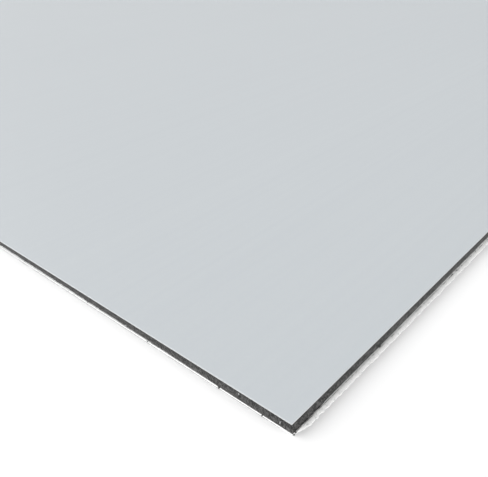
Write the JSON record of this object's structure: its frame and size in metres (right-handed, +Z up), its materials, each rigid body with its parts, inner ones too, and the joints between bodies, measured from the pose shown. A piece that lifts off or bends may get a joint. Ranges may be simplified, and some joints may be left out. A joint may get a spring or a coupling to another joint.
{
  "type": "aluminium composite panel",
  "caption": "Flat rigid sandwich sheet: thin aluminium skins bonded to a thick dark polyethylene core, light grey face, square-cut edges, for cladding, fascias and signs.",
  "frame": {"origin": "centre of the underside, where the sheet rests on the floor", "axes": "+X along the sheet's length, the way the skins are rolled; +Y across its width; +Z up, out of the coated face"},
  "size_m": [2.44, 1.22, 0.003],
  "materials": {
    "face_coating": "satin",
    "core_plastic": "matte",
    "back_skin_metal": "satin"
  },
  "bodies": {
    "root": {"back_skin": "back_skin_metal", "core": "core_plastic", "face_skin": "face_coating"}
  },
  "joints": []
}
